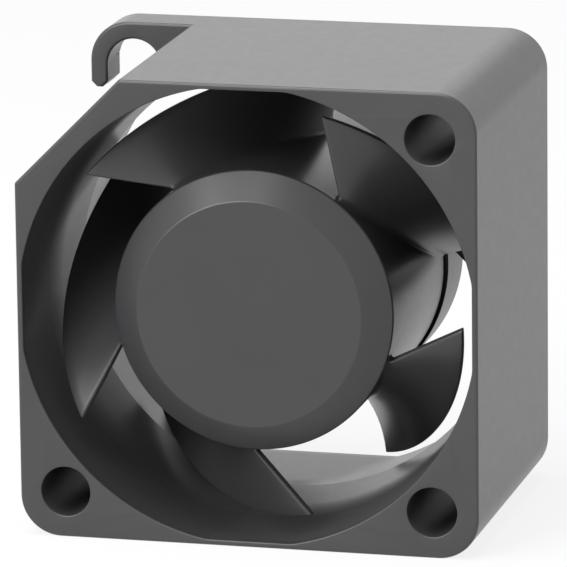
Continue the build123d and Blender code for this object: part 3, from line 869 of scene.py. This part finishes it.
def metal(name, colour, roughness):
    """Machined, ground or pressed metal, with tool marks along one direction."""
    look = Look(name, Metallic=1.0)
    look.tones(look.noise(size=2.5), colour, dark=0.88, light=1.06)
    marks = look.noise(size=0.3, stretch=(1.0, 0.05, 1.0))
    look.gloss(marks, roughness, variation=0.08)
    look.bump(marks, depth=0.002)
    return look.material


def laminated(name, colour):
    """Stack of thin sheets: fine lines across the rotor axis."""
    look = Look(name, Metallic=1.0, Roughness=0.42)
    sheets = look.wave(wave_type="BANDS", bands_direction="Y", Scale=600.0, Distortion=0.3)
    look.tones(sheets, colour, dark=0.55, light=1.05, positions=(0.1, 0.5))
    look.bump(sheets, depth=0.02)
    return look.material


def winding(name, colour):
    """Enamelled copper wire, a little uneven in tone."""
    look = Look(name, Metallic=0.85, Roughness=0.3, Coat_Weight=0.5)
    enamel = look.noise(size=0.6, stretch=(1.0, 0.3, 1.0))
    look.tones(enamel, colour, dark=0.8, light=1.1)
    look.bump(look.noise(size=0.05), depth=0.0005)
    return look.material


def board_coat(name, colour):
    """Circuit board: solder mask over ring-shaped tracks."""
    look = Look(name, Roughness=0.32)
    tracks = look.wave(wave_type="RINGS", rings_direction="Y", Scale=262.0)
    look.tones(tracks, colour, dark=1.0, light=1.5, positions=(0.82, 0.92))
    look.bump(tracks, depth=0.01)
    return look.material


MATERIALS = {
    # Housing: its funnel gets 0.3 more roughness, and painted shade at 0.35 of the colour
    "housing_plastic": moulded("housing_plastic", (0.046, 0.046, 0.048), 0.34,
                               funnel=(0.3, 0.35)),
    "impeller_plastic": moulded("impeller_plastic", (0.040, 0.040, 0.042), 0.3),
    "yoke_steel": metal("yoke_steel", (0.52, 0.52, 0.53), 0.35),
    "magnet": moulded("magnet", (0.055, 0.055, 0.060), 0.6, grain=0.1, depth=0.008),
    "brass": metal("brass", (0.72, 0.53, 0.25), 0.28),
    "shaft_steel": metal("shaft_steel", (0.62, 0.62, 0.63), 0.2),
    "washer_plastic": moulded("washer_plastic", (0.75, 0.74, 0.70), 0.45),
    "retainer_steel": metal("retainer_steel", (0.35, 0.35, 0.36), 0.38),
    "spring_steel": metal("spring_steel", (0.55, 0.55, 0.56), 0.25),
    "bearing_steel": metal("bearing_steel", (0.66, 0.66, 0.67), 0.18),
    "shield_steel": metal("shield_steel", (0.58, 0.58, 0.59), 0.3),
    "ball_steel": metal("ball_steel", (0.75, 0.75, 0.76), 0.1),
    "cage_plastic": moulded("cage_plastic", (0.70, 0.64, 0.50), 0.5),
    "lamination": laminated("lamination", (0.34, 0.34, 0.36)),
    "insulator": moulded("insulator", (0.62, 0.60, 0.54), 0.5),
    "winding": winding("winding", (0.62, 0.27, 0.13)),
    "tinned_pin": metal("tinned_pin", (0.70, 0.70, 0.70), 0.3),
    "board": board_coat("board", (0.03, 0.18, 0.09)),
    "chip": moulded("chip", (0.03, 0.03, 0.032), 0.5, grain=0.08, depth=0.006),
    "capacitor": moulded("capacitor", (0.50, 0.38, 0.26), 0.5),
    "resistor": moulded("resistor", (0.06, 0.06, 0.07), 0.4),
}


# CAD nodes that show their own solids, and the pieces that stand for the others


def dress_nodes():
    """Give each CAD node the material of its slot, and smooth shading between sharp edges."""
    for entry in frame["record"]["subparts"]:
        mesh = frame["nodes"][entry["node"]].data
        mesh.materials.clear()
        mesh.materials.append(MATERIALS[entry["material_slot"]])
        mesh.shade_smooth()
        mesh.set_sharp_from_angle(angle=radians(CAD_SHARP_ANGLE))


def finished(piece, name, node, body, slot):
    """Shade a piece smoothly between its sharp edges, and let it stand for a CAD node."""
    piece.name = name
    piece.data.shade_smooth()
    piece.data.set_sharp_from_angle(angle=radians(SHARP_ANGLE))
    weighted = piece.modifiers.new("normals", "WEIGHTED_NORMAL")
    weighted.keep_sharp = True
    apply_modifiers(piece)
    piece.data.name = name
    piece.data.materials.clear()
    piece.data.materials.append(MATERIALS[slot])
    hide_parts(node)
    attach(piece, body)


dress_nodes()
finished(make_housing(), "housing_moulding", "frame", "housing", "housing_plastic")
finished(make_impeller(), "impeller_moulding", "impeller", "rotor", "impeller_plastic")
for number in range(COIL_COUNT):
    finished(make_coil(360 * number / COIL_COUNT), f"wound_coil_{number + 1}",
             f"stator_coil_{number + 1}", "housing", "winding")


# Floor, background and light


def white_for_the_camera(tree, shader, share, target):
    """Mix a shader with plain white for what the camera sees, straight or mirrored."""
    path = tree.nodes.new("ShaderNodeLightPath")
    seen = path.outputs["Is Camera Ray"]
    for name in ("Is Glossy Ray", "Is Transmission Ray"):
        larger = tree.nodes.new("ShaderNodeMath")
        larger.operation = "MAXIMUM"
        tree.links.new(seen, larger.inputs[0])
        tree.links.new(path.outputs[name], larger.inputs[1])
        seen = larger.outputs[0]
    part = tree.nodes.new("ShaderNodeMath")
    part.operation = "MULTIPLY"
    part.inputs[1].default_value = share
    tree.links.new(seen, part.inputs[0])
    mix = tree.nodes.new("ShaderNodeMixShader")
    tree.links.new(part.outputs[0], mix.inputs["Fac"])
    tree.links.new(shader, mix.inputs[1])
    if target.bl_idname == "ShaderNodeOutputWorld":
        white = tree.nodes.new("ShaderNodeBackground")
    else:
        white = tree.nodes.new("ShaderNodeEmission")
    white.inputs["Color"].default_value = (1, 1, 1, 1)
    white.inputs["Strength"].default_value = 1.0
    tree.links.new(white.outputs[0], mix.inputs[2])
    tree.links.new(mix.outputs[0], target.inputs["Surface"])


def make_floor():
    """Wide pale floor under the fan."""
    reach = FLOOR_REACH * MM
    z = -HALF_SIZE * MM
    mesh = bpy.data.meshes.new("floor")
    mesh.from_pydata([(-reach, -reach, z), (reach, -reach, z), (reach, reach, z),
                      (-reach, reach, z)], [], [(0, 1, 2, 3)])
    floor = bpy.data.objects.new("floor", mesh)
    bpy.context.scene.collection.objects.link(floor)
    material = bpy.data.materials.new("floor")
    material.use_nodes = True
    tree = material.node_tree
    tree.nodes.clear()
    output = tree.nodes.new("ShaderNodeOutputMaterial")
    matte = tree.nodes.new("ShaderNodeBsdfDiffuse")
    matte.inputs["Color"].default_value = (FLOOR_TONE, FLOOR_TONE, FLOOR_TONE, 1)
    white_for_the_camera(tree, matte.outputs[0], FLOOR_WHITE_SHARE, output)
    mesh.materials.append(material)


def make_world():
    """Even glow from all round, which the camera sees as white."""
    world = bpy.data.worlds.new("world")
    bpy.context.scene.world = world
    world.use_nodes = True
    tree = world.node_tree
    tree.nodes.clear()
    output = tree.nodes.new("ShaderNodeOutputWorld")
    glow = tree.nodes.new("ShaderNodeBackground")
    glow.inputs["Color"].default_value = (1, 1, 1, 1)
    glow.inputs["Strength"].default_value = GLOW
    white_for_the_camera(tree, glow.outputs[0], 1.0, output)


def make_lamp(name, place, size, power):
    """Soft square lamp that looks at the fan."""
    data = bpy.data.lights.new(name, "AREA")
    data.shape = "SQUARE"
    data.size = size * MM
    data.energy = power
    lamp = bpy.data.objects.new(name, data)
    lamp.location = Vector(place) * MM
    lamp.rotation_euler = (-Vector(place)).to_track_quat("-Z", "Y").to_euler()
    bpy.context.scene.collection.objects.link(lamp)
    lamp.visible_camera = False


make_floor()
make_world()
for values in LAMPS:
    make_lamp(*values)

bpy.context.scene.view_settings.view_transform = "Standard"
